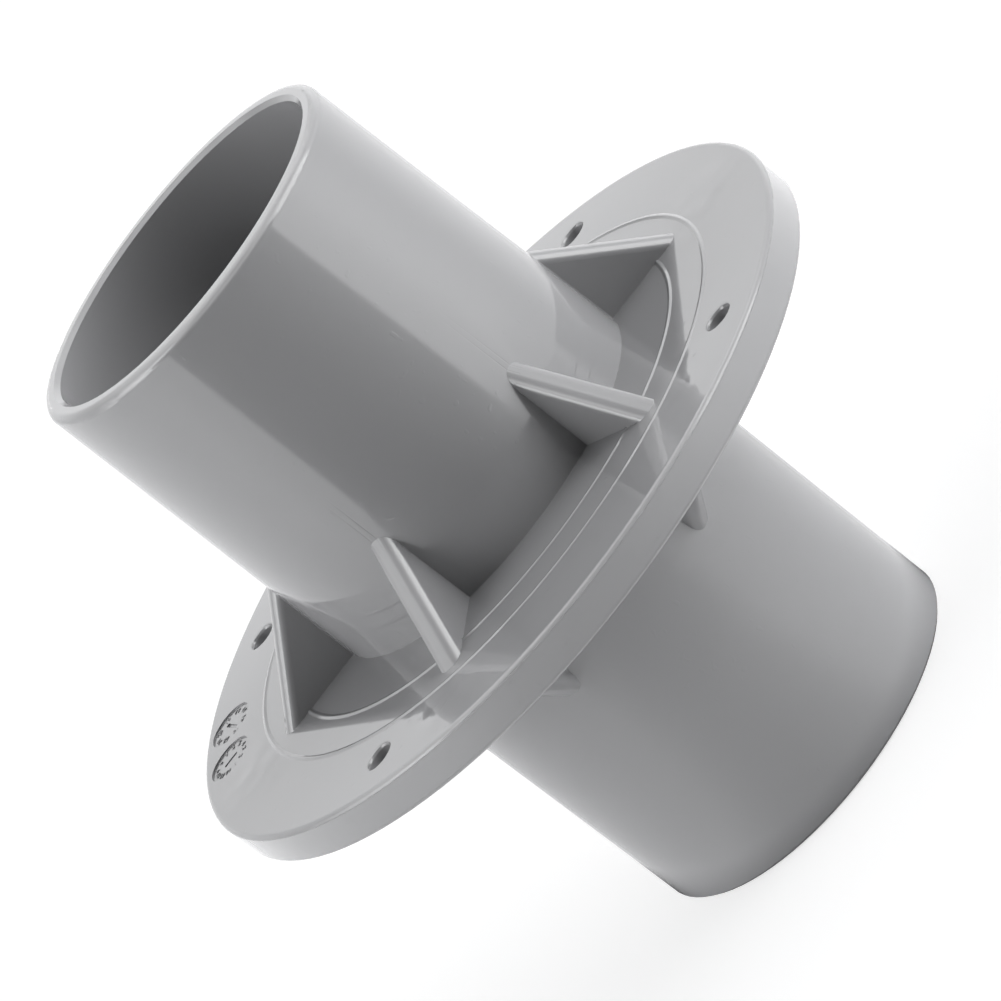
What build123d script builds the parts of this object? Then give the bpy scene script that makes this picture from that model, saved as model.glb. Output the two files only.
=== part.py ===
"""Wall sleeve pipe: one moulded tube with a round wall flange at mid length and gusset ribs on both sides.

The tube stands on its base end with its axis on Z, and the origin is the centre of the base end.
All sizes are in millimetres and all angles in degrees.
"""

import os
from math import atan2, degrees, radians, tan

from build123d import *

# Tube
end_diameter = 63.0
wall_thickness = 3.3
front_length = 60.0
back_length = 60.0
front_draft = 0.8
back_draft = 0.27
mouth_rounding = 1.45
mouth_chamfer = 0.7
base_chamfer = 0.5

# Flange
flange_diameter = 130.4
flange_thickness = 6.5
flange_front_rounding = 0.8
flange_back_rounding = 0.8

# Two fine raised lines that ring the tube on the front face of the flange
ring_distances = (11.65, 19.2)
ring_height = 0.15
ring_width = 1.0
ring_crest = 0.3

# Gusset ribs, with their reach along the flange on the front and on the back
rib_count = 6
rib_reaches = (16.6, 16.2)
rib_slope = 46.0
rib_thickness = 4.6
rib_draft = 0.6
rib_rounding = 1.8

# Screw holes near the flange's edge, the first one halfway between the X and Y axes
hole_count = 4
hole_start = 45.0
hole_diameter = 4.5
hole_edge_distance = 8.1
hole_chamfer = 0.4

# Two shallow date dials near the flange's edge on the front face, each with a pointer groove
dial_diameter = 8.6
dial_depth = 0.25
dial_edge_distance = 6.0
dial_angles = (-24.9, -14.4)
pointer_lengths = (3.9, 2.9)
pointer_width = 0.7
pointer_angles = (104.0, 0.0)

# Levels and radii that follow from the sizes above
end_radius = end_diameter / 2
bore_radius = end_radius - wall_thickness
flange_radius = flange_diameter / 2
hole_circle_radius = flange_radius - hole_edge_distance
dial_circle_radius = flange_radius - dial_edge_distance
back_face = back_length
front_face = back_face + flange_thickness
total_length = front_face + front_length
middle = (back_face + front_face) / 2
back_root_radius = end_radius + back_length * tan(radians(back_draft))
front_root_radius = end_radius + front_length * tan(radians(front_draft))
wall_middle = (end_radius + bore_radius) / 2
ring_flank = degrees(atan2(ring_height, (ring_width - ring_crest) / 2))
rib_fall = tan(radians(rib_slope))


def circles(part, radius, level):
    """Round edges of one radius at one level."""
    found = part.edges().filter_by(GeomType.CIRCLE)
    found = found.filter_by(lambda edge: abs(edge.radius - radius) < 1e-4)
    return found.filter_by(lambda edge: abs(edge.center().Z - level) < 1e-4)


def is_slope(face):
    """True for the sloping face of a rib."""
    normal = face.normal_at(face.center())
    return normal.X > 0.2 and normal.Z > 0.2


# One rib for each side, both made on the front side and running into the tube wall and the flange
ribs = []
for rib_reach in rib_reaches:
    rib_outer = end_radius + rib_reach + (front_face - middle) / rib_fall
    rib_top = middle + (rib_outer - wall_middle) * rib_fall
    with BuildPart() as rib:
        with BuildSketch(Plane.XY.offset(middle)):
            with Locations((wall_middle, 0)):
                Rectangle(2 * rib_outer, rib_thickness, align=(Align.MIN, Align.CENTER))
        extrude(amount=rib_top - middle, taper=rib_draft)
        with BuildSketch(Plane.XZ):
            with BuildLine():
                Polyline(
                    (wall_middle, middle),
                    (rib_outer, middle),
                    (wall_middle, rib_top),
                    close=True,
                )
            make_face()
        extrude(amount=rib_thickness, both=True, mode=Mode.INTERSECT)
        slope = rib.faces().filter_by(is_slope).sort_by(SortBy.AREA)[-1]
        fillet(slope.edges().sort_by(SortBy.LENGTH)[-2:], rib_rounding)
    ribs.append(rib.part)
front_rib, back_rib = ribs

with BuildPart() as sleeve:
    # Tube and flange, turned from one section
    with BuildSketch(Plane.XZ):
        with BuildLine():
            Polyline(
                (bore_radius, 0),
                (end_radius, 0),
                (back_root_radius, back_face),
                (flange_radius, back_face),
                (flange_radius, front_face),
                (front_root_radius, front_face),
                (end_radius, total_length),
                (bore_radius, total_length),
                close=True,
            )
        make_face()
    revolve(axis=Axis.Z)

    # Raised lines on the front face
    for ring_distance in ring_distances:
        with BuildSketch(Plane.XZ):
            with Locations((end_radius + ring_distance, front_face)):
                Trapezoid(ring_width, ring_height, ring_flank, align=(Align.CENTER, Align.MIN))
        revolve(axis=Axis.Z)

    # Edges of the tube and the flange
    fillet(circles(sleeve, flange_radius, back_face), flange_back_rounding)
    fillet(circles(sleeve, flange_radius, front_face), flange_front_rounding)
    fillet(circles(sleeve, end_radius, total_length), mouth_rounding)
    chamfer(circles(sleeve, end_radius, 0), base_chamfer)
    chamfer(circles(sleeve, bore_radius, total_length), mouth_chamfer)

    # Ribs on the front side, and ribs mirrored to the back side
    with PolarLocations(0, rib_count):
        add([front_rib, mirror(back_rib, about=Plane.XY.offset(middle))])

    # Screw holes, chamfered on the front face
    with Locations(Plane.XY.offset(front_face)):
        with PolarLocations(hole_circle_radius, hole_count, start_angle=hole_start):
            Hole(hole_diameter / 2)
    chamfer(circles(sleeve, hole_diameter / 2, front_face), hole_chamfer)

    # Date dials
    for angle, pointer_angle, pointer_length in zip(dial_angles, pointer_angles, pointer_lengths):
        with BuildSketch(Plane.XY.offset(front_face)):
            with PolarLocations(dial_circle_radius, 1, start_angle=angle, rotate=False):
                Circle(dial_diameter / 2)
        extrude(amount=-dial_depth, mode=Mode.SUBTRACT)
        with BuildSketch(Plane.XY.offset(front_face - dial_depth)):
            with PolarLocations(dial_circle_radius, 1, start_angle=angle, rotate=False):
                Rectangle(pointer_length, pointer_width, rotation=pointer_angle)
        extrude(amount=-dial_depth, mode=Mode.SUBTRACT)

sleeve.part.label = "wall_sleeve"
os.makedirs("parts", exist_ok=True)
export_step(sleeve.part, "parts/wall_sleeve.step")
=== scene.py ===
"""Wall sleeve pipe: camera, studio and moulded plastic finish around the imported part."""

from math import cos, pi, radians, sin

import bmesh
import bpy
from mathutils import Matrix, Vector


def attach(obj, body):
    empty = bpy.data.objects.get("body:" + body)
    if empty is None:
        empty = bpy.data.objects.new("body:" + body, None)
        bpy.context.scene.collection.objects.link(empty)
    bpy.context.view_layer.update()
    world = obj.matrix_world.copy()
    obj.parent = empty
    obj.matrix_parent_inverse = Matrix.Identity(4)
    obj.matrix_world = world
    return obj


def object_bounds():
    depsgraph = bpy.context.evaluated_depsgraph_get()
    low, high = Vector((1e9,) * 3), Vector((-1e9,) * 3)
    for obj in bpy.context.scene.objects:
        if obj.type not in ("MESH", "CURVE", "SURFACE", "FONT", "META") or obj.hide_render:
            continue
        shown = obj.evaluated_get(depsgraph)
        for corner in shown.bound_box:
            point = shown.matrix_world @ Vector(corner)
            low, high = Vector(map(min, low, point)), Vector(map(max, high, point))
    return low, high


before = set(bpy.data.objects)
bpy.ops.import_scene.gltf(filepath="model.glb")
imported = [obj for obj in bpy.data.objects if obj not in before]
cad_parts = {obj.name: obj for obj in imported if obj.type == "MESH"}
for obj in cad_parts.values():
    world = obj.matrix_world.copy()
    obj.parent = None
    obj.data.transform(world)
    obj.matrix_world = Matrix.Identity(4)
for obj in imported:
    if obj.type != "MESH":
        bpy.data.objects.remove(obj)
cad_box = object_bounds()

# Camera, in metres and degrees; it looks at a point on the tube's axis
AIM = Vector((0.0001, 0.0, 0.0622))
AZIMUTH = 89.98
ELEVATION = 18.43
DISTANCE = 0.8722
ROLL = -52.32
LENS = 205.54
SENSOR_WIDTH = 36.0
CLIP_START = 0.01

# Colours of the plastic, the floor and the light, which is a trace cool
PLASTIC = (0.336, 0.3365, 0.3435, 1)
FLOOR_COLOUR = (0.95, 0.95, 0.95, 1)
LIGHT_COLOUR = (0.99, 0.993, 1, 1)
WHITE = (1, 1, 1, 1)

# White that the camera sees on the floor: its strength, and its share beside the floor's own shade
FLOOR_WHITE = 1.3
FLOOR_WHITE_SHARE = 0.5

# Floor: a disc just under the part, in metres
FLOOR_RADIUS = 6.0
FLOOR_SEGMENTS = 96
FLOOR_GAP = 0.0001

# Least top of a row of levels, so that a dark row still has one
LEAST_TOP = 0.01

# Soft light on the object: levels by azimuth at growing heights in degrees
LIGHT_BANDS = [
    (5, [
        (-180, 6.4), (-150, 6.2), (-120, 5.8), (-60, 4.8), (-20, 3.8), (0, 2.8), (17, 1.6),
        (32, 0.8), (42, 0), (130, 0), (138, 0.7), (152, 3.1), (170, 5.2), (180, 6.2),
    ]),
    (15, [
        (-180, 3.3), (-165, 3.2), (-120, 2.6), (-60, 2.2), (-20, 2.1), (0, 2.5), (17, 2.6),
        (32, 2.2), (42, 0), (130, 0), (138, 0.2), (152, 2.3), (170, 3.2), (180, 3.3),
    ]),
    (25, [
        (-180, 2.4), (-165, 2.1), (-120, 1.1), (-60, 1.1), (-20, 1.7), (0, 3.0), (17, 3.2),
        (32, 2.3), (42, 0), (130, 0), (138, 0.9), (152, 3.0), (170, 3.1), (180, 2.5),
    ]),
    (37, [
        (-180, 4.2), (-165, 3.0), (-140, 0.6), (-120, 0.1), (-60, 0.1), (-20, 1.6),
        (0, 3.6), (17, 3.0), (27, 0.6), (32, 0), (130, 0), (138, 0.8), (152, 4.8),
        (170, 5.6), (180, 4.6),
    ]),
    (52, [(-180, 0.05), (180, 0.05)]),
    (65, [(-180, 0.4), (180, 0.4)]),
]

# Painted glow on the floor, a painted reflection that only glossy rays meet: levels by azimuth, on
# rings of growing radius
PAINTED_GLOW_RINGS = [
    (0.1, [
        (-180, 1.05), (-150, 0.97), (-90, 0.78), (-40, 0.83), (-10, 0.85), (8, 1),
        (22, 1.25), (38, 1.65), (60, 1.3), (85, 1.28), (112, 1.6), (128, 2.15), (142, 1.95),
        (158, 1.5), (172, 1.15), (180, 1.05),
    ]),
    (0.18, [
        (-180, 1.85), (-150, 1.4), (-90, 0.92), (-40, 1.28), (0, 1.3), (22, 1.5),
        (38, 1.57), (52, 1.05), (68, 0.65), (98, 0.7), (113, 1), (128, 2.1), (142, 2.5),
        (158, 2.37), (172, 2.1), (180, 1.85),
    ]),
    (0.245, [
        (-180, 2.05), (-165, 1.8), (-90, 1.1), (-25, 1.6), (8, 2.2), (25, 2.8), (36, 2.95),
        (46, 2.4), (60, 1.75), (80, 1.5), (98, 1.7), (113, 2.2), (126, 2.8), (134, 3.3),
        (150, 3.3), (172, 2.5), (180, 2.05),
    ]),
    (0.29, [
        (-180, 2), (-165, 1.4), (-90, 0.9), (-22, 1.35), (0, 1.6), (20, 2.1), (38, 2.4),
        (43, 1.2), (55, 0.4), (85, 0.05), (100, 0.2), (113, 0.4), (126, 1.4), (131, 3),
        (150, 3.2), (172, 2.4), (180, 2),
    ]),
    (0.34, [
        (-180, 2.3), (-165, 1.4), (-120, 1.2), (-90, 0.92), (-60, 1.1), (-22, 1.4),
        (0, 1.75), (20, 2.4), (41, 2.4), (44, 0.4), (55, 0.1), (85, 0.1), (100, 0.3),
        (115, 0.5), (128.5, 1), (131.5, 3.9), (160, 3.8), (175, 2.8), (180, 2.3),
    ]),
]

# Radii between which the mirrored floor rises to those levels from a painted shadow under the tube
PAINTED_BASE_SHADOW = (0.032, 0.042)

# What glossy rays meet above the floor: levels by azimuth at growing heights in degrees
MIRROR_BANDS = [
    (5, [
        (-180, 8.2), (-172, 2.8), (-150, 2), (-120, 1.4), (-90, 1.5), (-60, 1), (-30, 1.1),
        (-20, 2), (-12, 3.8), (0, 4.4), (12, 4.6), (28, 7.4), (38, 1), (60, 0.1), (90, 0.6),
        (105, 0.3), (133, 0.3), (140, 7.6), (165, 8), (180, 8.2),
    ]),
    (15, [
        (-180, 8.5), (-172, 3), (-150, 1.2), (-120, 1.9), (-90, 1.66), (-60, 1.6),
        (-30, 1.3), (-20, 2.4), (-12, 3.8), (0, 5.5), (15, 9), (25, 8.8), (34, 1.6),
        (60, 0.4), (105, 0.9), (133, 1.6), (140, 9), (165, 8.2), (180, 8.5),
    ]),
    (25, [
        (-180, 8.3), (-172, 3.2), (-150, 2), (-120, 1.8), (-90, 1.68), (-60, 1.5),
        (-30, 1.7), (-20, 3.4), (-12, 5), (0, 6.8), (15, 8.8), (21, 8.8), (28, 1.9),
        (60, 1.3), (105, 1.9), (133, 2.8), (140, 9), (150, 9.1), (165, 8.3), (180, 8.3),
    ]),
    (35, [
        (-180, 6.3), (-165, 2.3), (-140, 3.1), (-120, 2.2), (-90, 3.2), (-75, 1.8),
        (-50, 2), (-30, 1.6), (-12, 4.8), (0, 6.5), (15, 8.6), (32, 9.8), (42, 5.4),
        (52, 3.2), (90, 4), (120, 4.8), (141, 5.7), (152, 7.8), (165, 8.2), (180, 6.3),
    ]),
    (45, [
        (-180, 3.5), (-150, 4.1), (-105, 4.4), (-75, 3.5), (-50, 3), (-30, 3.9), (-15, 3.8),
        (0, 5.6), (40, 5.5), (52, 3.7), (90, 3.7), (120, 2.5), (135, 3.8), (150, 5.8),
        (165, 5.8), (180, 3.5),
    ]),
    (55, [
        (-180, 3.5), (-150, 4.1), (-90, 5.4), (-60, 4), (-12, 3.7), (0, 4.5), (40, 4.9),
        (60, 2.5), (90, 3), (105, 2.3), (135, 4.2), (165, 4.7), (180, 3.5),
    ]),
    (65, [
        (-180, 4.2), (-90, 5.7), (-30, 4.6), (30, 5.2), (45, 4.9), (60, 3), (90, 2.7),
        (120, 2.6), (150, 5), (180, 4.2),
    ]),
    (77, [(-180, 4.3), (-90, 5.9), (45, 5.4), (90, 5.3), (120, 4.5), (150, 5.2), (180, 4.3)]),
    (90, [(-180, 4.4), (180, 4.4)]),
]

# Unevenness of the moulded surface: noise scales per metre and heights in millimetres
SOFT_SCALE = 45.0
SOFT_HEIGHT = 0.012
RIPPLE_SCALE = 210.0
RIPPLE_HEIGHT = 0.002
GRAIN_SCALE = 900.0
GRAIN_HEIGHT = 0.0004
SPECK_GRAIN = (0.76, 0.84)
SPECK_HEIGHT = 0.012

# Drag lines on the tube beside each rib's middle: places and widths in metres
RIB_COUNT = 6
TUBE_OUTSIDE = 0.0335
DRAG_ASIDE = (0.0005, 0.00035)
DRAG_ALONG = (0.083, 0.030)
DRAG_HEIGHT = -0.02

# Sink marks on the flange's front face round the outer ends of the ribs
FRONT_START = 0.0655
SINK_RADIUS = (0.055, 0.022)
SINK_ASIDE = (0.0, 0.026)
SINK_HEIGHT = 0.14

# Parting line on the flange's rim
RIM_START = 0.0649
PARTING_LEVEL = (0.06582, 0.00024)
PARTING_FLASH = (0.1, 1.9)
PARTING_HEIGHT = 0.07

# Crests of the two raised lines on the flange's front face
RAISED_LINES = (0.04315, 0.0507)
CREST_WIDTH = 0.0006
CREST_END = 0.0668
CREST_HEIGHT = 0.06

# Screw holes: place of each axis along X and Y, and radii of the lip's foot, shoulder and end
HOLE_SIDE = 0.040376
HOLE_LIP = (0.00225, 0.00253, 0.00265)
HOLE_LIP_HEIGHT = 0.168

# Gloss of the plastic, and the fine rounding of its edges
IOR = 1.5
ROUGHNESS = (0.02, 0.045)
CLOUD_SCALE = 90.0
CLOUD_RANGE = (0.35, 0.7)
EDGE_RADIUS = 0.0001
EDGE_SAMPLES = 4
MILLIMETRE = 0.001

# Date dials: turn about the tube's axis and the numbers round the edge
DIAL_CIRCLE = 0.0592
DIAL_FLOOR = 0.06625
DIALS = [(-24.9, range(15, 23)), (-14.4, range(1, 13))]
NUMBER_CIRCLE = 0.0031
NUMBER_SIZE = 0.0014
NUMBER_HEIGHT = 0.00013
NUMBER_LIFT = 0.45 * NUMBER_HEIGHT


def direction(azimuth, elevation):
    """Unit vector towards an azimuth and an elevation in degrees."""
    azimuth, elevation = radians(azimuth), radians(elevation)
    return Vector((cos(elevation) * cos(azimuth), cos(elevation) * sin(azimuth), sin(elevation)))


def facing(away):
    """Rotation that points an object's -Z axis against a direction, with its Y axis up."""
    return (-away).to_track_quat("-Z", "Y").to_matrix().to_4x4()


def make_camera():
    data = bpy.data.cameras.new("camera")
    data.lens = LENS
    data.sensor_width = SENSOR_WIDTH
    data.clip_start = CLIP_START
    camera = bpy.data.objects.new("camera", data)
    bpy.context.collection.objects.link(camera)
    away = direction(AZIMUTH, ELEVATION)
    roll = Matrix.Rotation(radians(ROLL), 4, "Z")
    camera.matrix_world = Matrix.Translation(AIM + DISTANCE * away) @ facing(away) @ roll
    bpy.context.scene.camera = camera


class Nodes:
    """Short ways to add and join nodes in one tree."""

    def __init__(self, tree):
        self.tree = tree

    def add(self, kind, values=(), **settings):
        node = self.tree.nodes.new(kind)
        for name, value in settings.items():
            setattr(node, name, value)
        for name, value in dict(values).items():
            node.inputs[name].default_value = value
        return node

    def join(self, source, target):
        self.tree.links.new(source, target)

    def math(self, operation, first, second=None):
        node = self.add("ShaderNodeMath", operation=operation)
        for slot, value in enumerate((first, second)):
            if value is None:
                continue
            if isinstance(value, (int, float)):
                node.inputs[slot].default_value = value
            else:
                self.join(value, node.inputs[slot])
        return node.outputs[0]

    def product(self, first, *others):
        for other in others:
            first = self.math("MULTIPLY", first, other)
        return first

    def total(self, first, *others):
        for other in others:
            first = self.math("ADD", first, other)
        return first

    def between(self, value, start, end):
        """0 up to the start, 1 from the end on, and straight between them."""
        node = self.add("ShaderNodeMapRange", {"From Min": start, "From Max": end})
        self.join(value, node.inputs["Value"])
        return node.outputs[0]

    def near(self, value, middle, width):
        """1 at the middle and 0 from half the width on, with a smooth fall."""
        node = self.add("ShaderNodeMapRange", {"From Min": width / 2, "From Max": 0.0})
        node.interpolation_type = "SMOOTHSTEP"
        away = self.math("ABSOLUTE", self.math("SUBTRACT", value, middle))
        self.join(away, node.inputs["Value"])
        return node.outputs[0]

    def blend(self, share, first, second):
        """The first value at share 0 and the second at share 1."""
        step = self.math("SUBTRACT", second, first)
        return self.math("ADD", self.math("MULTIPLY", share, step), first)

    def mix(self, share, first, second):
        """The first shader at share 0 and the second at share 1."""
        node = self.add("ShaderNodeMixShader")
        self.join(share, node.inputs[0])
        self.join(first.outputs[0], node.inputs[1])
        self.join(second.outputs[0], node.inputs[2])
        return node

    def noise(self, place, scale, detail=0.0):
        node = self.add("ShaderNodeTexNoise", {"Scale": scale, "Detail": detail})
        self.join(place, node.inputs["Vector"])
        return node.outputs[0]

    def levels(self, share, stops):
        """Levels joined straight between stops along a share of 0 to 1, as a ramp of its top."""
        top = max(LEAST_TOP, *(level for _, level in stops))
        node = self.add("ShaderNodeValToRGB")
        marks = node.color_ramp.elements
        marks.remove(marks[1])
        marks[0].position = stops[0][0]
        for place, _ in stops[1:]:
            marks.new(place)
        for mark, (_, level) in zip(marks, stops):
            mark.color = (level / top, level / top, level / top, 1)
        self.join(share, node.inputs[0])
        return self.math("MULTIPLY", node.outputs["Color"], top)

    def banded(self, azimuth, value, bands):
        """Levels by azimuth, joined straight between bands along a value."""
        level = self.levels(azimuth, by_azimuth(bands[0][1]))
        for (start, _), (end, stops) in zip(bands, bands[1:]):
            further = self.levels(azimuth, by_azimuth(stops))
            level = self.blend(self.between(value, start, end), level, further)
        return level

    def split(self, vector):
        node = self.add("ShaderNodeSeparateXYZ")
        self.join(vector, node.inputs[0])
        return node.outputs

    def length(self, x, y):
        squares = self.total(self.math("MULTIPLY", x, x), self.math("MULTIPLY", y, y))
        return self.math("SQRT", squares)

    def cylindrical(self, vector):
        """Turn about Z as a share of 0 to 1 from -180 degrees on, distance from Z, and height."""
        x, y, z = self.split(vector)
        turn = self.math("ADD", self.math("DIVIDE", self.math("ARCTAN2", y, x), 2 * pi), 0.5)
        return turn, self.length(x, y), z

    def from_diagonals(self, vector, side):
        """Distance from the nearest of the four upright lines at (+-side, +-side)."""
        x, y, _ = self.split(vector)
        x, y = (self.math("SUBTRACT", self.math("ABSOLUTE", part), side) for part in (x, y))
        return self.length(x, y)

    def mirrored(self, path):
        """1 for what is seen in a mirror or through glass, 0 for light on a dull surface."""
        seen = self.math(
            "MAXIMUM", path.outputs["Is Glossy Ray"], path.outputs["Is Transmission Ray"]
        )
        return self.product(seen, self.math("LESS_THAN", path.outputs["Diffuse Depth"], 0.5))


def by_azimuth(stops):
    return [((angle + 180) / 360, level) for angle, level in stops]


def by_height(bands):
    return [(sin(radians(angle)), stops) for angle, stops in bands]


def make_world():
    world = bpy.data.worlds.new("studio")
    world.use_nodes = True
    tree = world.node_tree
    tree.nodes.clear()
    nodes = Nodes(tree)
    place = nodes.add("ShaderNodeTexCoord")
    azimuth, _, height = nodes.cylindrical(place.outputs["Generated"])
    shades = []
    for bands in (LIGHT_BANDS, MIRROR_BANDS):
        shade = nodes.add("ShaderNodeBackground", {"Color": LIGHT_COLOUR})
        nodes.join(nodes.banded(azimuth, height, by_height(bands)), shade.inputs["Strength"])
        shades.append(shade)

    path = nodes.add("ShaderNodeLightPath")
    white = nodes.add("ShaderNodeBackground", {"Color": WHITE, "Strength": 1.0})
    light = nodes.mix(nodes.mirrored(path), *shades)
    seen = nodes.mix(path.outputs["Is Camera Ray"], light, white)
    output = nodes.add("ShaderNodeOutputWorld")
    nodes.join(seen.outputs[0], output.inputs["Surface"])
    bpy.context.scene.world = world


def new_material(name):
    """An empty material and its nodes."""
    material = bpy.data.materials.new(name)
    material.use_nodes = True
    material.node_tree.nodes.clear()
    return material, Nodes(material.node_tree)


def floor_material():
    material, nodes = new_material("floor")
    place = nodes.add("ShaderNodeNewGeometry")
    azimuth, radius, _ = nodes.cylindrical(place.outputs["Position"])
    level = nodes.banded(azimuth, radius, PAINTED_GLOW_RINGS)
    # Painted shadow: the floor's glow fades to dark under the tube
    level = nodes.product(level, nodes.between(radius, *PAINTED_BASE_SHADOW))
    # The floor's painted glow, which only glossy rays see
    painted_glow = nodes.add("ShaderNodeEmission", {"Color": LIGHT_COLOUR})
    nodes.join(level, painted_glow.inputs["Strength"])

    path = nodes.add("ShaderNodeLightPath")
    diffuse = nodes.add("ShaderNodeBsdfDiffuse", {"Color": FLOOR_COLOUR})
    white = nodes.add("ShaderNodeEmission", {"Color": WHITE, "Strength": FLOOR_WHITE})
    share = nodes.product(path.outputs["Is Camera Ray"], FLOOR_WHITE_SHARE)
    seen = nodes.mix(nodes.mirrored(path), nodes.mix(share, diffuse, white), painted_glow)
    output = nodes.add("ShaderNodeOutputMaterial")
    nodes.join(seen.outputs[0], output.inputs["Surface"])
    return material


def make_floor():
    mesh = bpy.data.meshes.new("floor")
    disc = bmesh.new()
    bmesh.ops.create_circle(disc, cap_ends=True, segments=FLOOR_SEGMENTS, radius=FLOOR_RADIUS)
    disc.to_mesh(mesh)
    disc.free()
    mesh.materials.append(floor_material())
    floor = bpy.data.objects.new("floor", mesh)
    floor.location.z = cad_box[0][2] - FLOOR_GAP
    bpy.context.collection.objects.link(floor)


def surface_height(nodes, place):
    """Unevenness of the moulded surface in millimetres."""
    turn, radius, height = nodes.cylindrical(place)
    soft = nodes.product(nodes.noise(place, SOFT_SCALE, detail=1.0), SOFT_HEIGHT)
    ripple = nodes.noise(place, RIPPLE_SCALE)
    grain = nodes.noise(place, GRAIN_SCALE)
    fine = nodes.total(nodes.product(ripple, RIPPLE_HEIGHT), nodes.product(grain, GRAIN_HEIGHT))
    speck = nodes.product(nodes.between(grain, *SPECK_GRAIN), SPECK_HEIGHT)

    # Distance along the circle from the middle of the nearest rib
    step = nodes.math("PINGPONG", nodes.product(turn, RIB_COUNT), 0.5)
    aside = nodes.product(step, 2 * pi / RIB_COUNT, radius)

    # Drag lines from the tips of the ribs towards the mouth
    tube = nodes.math("LESS_THAN", radius, TUBE_OUTSIDE)
    along = nodes.near(height, *DRAG_ALONG)
    drag = nodes.product(nodes.near(aside, *DRAG_ASIDE), tube, along, DRAG_HEIGHT)

    # Sink marks on the flange round the outer ends of the ribs
    front = nodes.math("GREATER_THAN", height, FRONT_START)
    ends = nodes.product(nodes.near(radius, *SINK_RADIUS), nodes.near(aside, *SINK_ASIDE), front)
    sink = nodes.product(ends, ripple, SINK_HEIGHT)

    # Uneven parting line on the flange's rim
    rim = nodes.math("GREATER_THAN", radius, RIM_START)
    flash = nodes.blend(grain, *PARTING_FLASH)
    line = nodes.product(nodes.near(height, *PARTING_LEVEL), rim, flash, PARTING_HEIGHT)

    # Rounder crests on the two raised lines of the front face
    crests = [nodes.near(radius, middle, CREST_WIDTH) for middle in RAISED_LINES]
    low = nodes.math("LESS_THAN", height, CREST_END)
    crest = nodes.product(nodes.total(*crests), front, low, CREST_HEIGHT)

    # Rounder lips of the screw holes, which lie on both diagonals
    foot, shoulder, end = HOLE_LIP
    from_hole = nodes.from_diagonals(place, HOLE_SIDE)
    rise = nodes.between(from_hole, foot, shoulder)
    fall = nodes.between(from_hole, shoulder, end)
    lip = nodes.product(nodes.math("SUBTRACT", rise, fall), front, HOLE_LIP_HEIGHT)
    return nodes.total(soft, fine, drag, sink, line, crest, lip, speck)


def plastic_material():
    material, nodes = new_material("grey_plastic")
    shader = nodes.add("ShaderNodeBsdfPrincipled", {"Base Color": PLASTIC, "IOR": IOR})
    place = nodes.add("ShaderNodeTexCoord").outputs["Object"]
    edges = nodes.add("ShaderNodeBevel", {"Radius": EDGE_RADIUS}, samples=EDGE_SAMPLES)
    bump = nodes.add("ShaderNodeBump", {"Strength": 1.0, "Distance": MILLIMETRE})
    nodes.join(surface_height(nodes, place), bump.inputs["Height"])
    nodes.join(edges.outputs[0], bump.inputs["Normal"])
    nodes.join(bump.outputs[0], shader.inputs["Normal"])

    cloud = nodes.between(nodes.noise(place, CLOUD_SCALE, detail=1.0), *CLOUD_RANGE)
    nodes.join(nodes.blend(cloud, *ROUGHNESS), shader.inputs["Roughness"])
    output = nodes.add("ShaderNodeOutputMaterial")
    nodes.join(shader.outputs[0], output.inputs["Surface"])
    return material


def number_mesh(number):
    """A raised number as a mesh, with its middle at the origin."""
    text = bpy.data.curves.new("number", "FONT")
    text.body = str(number)
    text.size = NUMBER_SIZE
    text.extrude = NUMBER_HEIGHT / 2
    text.align_x = "CENTER"
    text.align_y = "CENTER"
    text.resolution_u = 2
    writing = bpy.data.objects.new("number", text)
    mesh = bpy.data.meshes.new_from_object(writing)
    bpy.data.objects.remove(writing)
    bpy.data.curves.remove(text)
    return mesh


def make_dial_numbers(material):
    """Raised numbers round the edge of each date dial, lower than the flange's face."""
    shape = bmesh.new()
    outwards = Matrix.Translation((0, NUMBER_CIRCLE, NUMBER_LIFT))
    for angle, numbers in DIALS:
        middle = DIAL_CIRCLE * direction(angle, 0) + Vector((0, 0, DIAL_FLOOR))
        for step, number in enumerate(numbers):
            turn = Matrix.Rotation(2 * pi * step / len(numbers), 4, "Z")
            mesh = number_mesh(number)
            mesh.transform(Matrix.Translation(middle) @ turn @ outwards)
            shape.from_mesh(mesh)
            bpy.data.meshes.remove(mesh)
    mesh = bpy.data.meshes.new("dial_numbers")
    shape.to_mesh(mesh)
    shape.free()
    mesh.materials.clear()
    mesh.materials.append(material)
    numbers = bpy.data.objects.new("dial_numbers", mesh)
    bpy.context.collection.objects.link(numbers)
    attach(numbers, "root")


make_camera()
make_world()
make_floor()

plastic = plastic_material()
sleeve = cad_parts["wall_sleeve"]
for material_slot in sleeve.material_slots:
    material_slot.material = plastic
make_dial_numbers(plastic)

bpy.context.scene.view_settings.view_transform = "Standard"
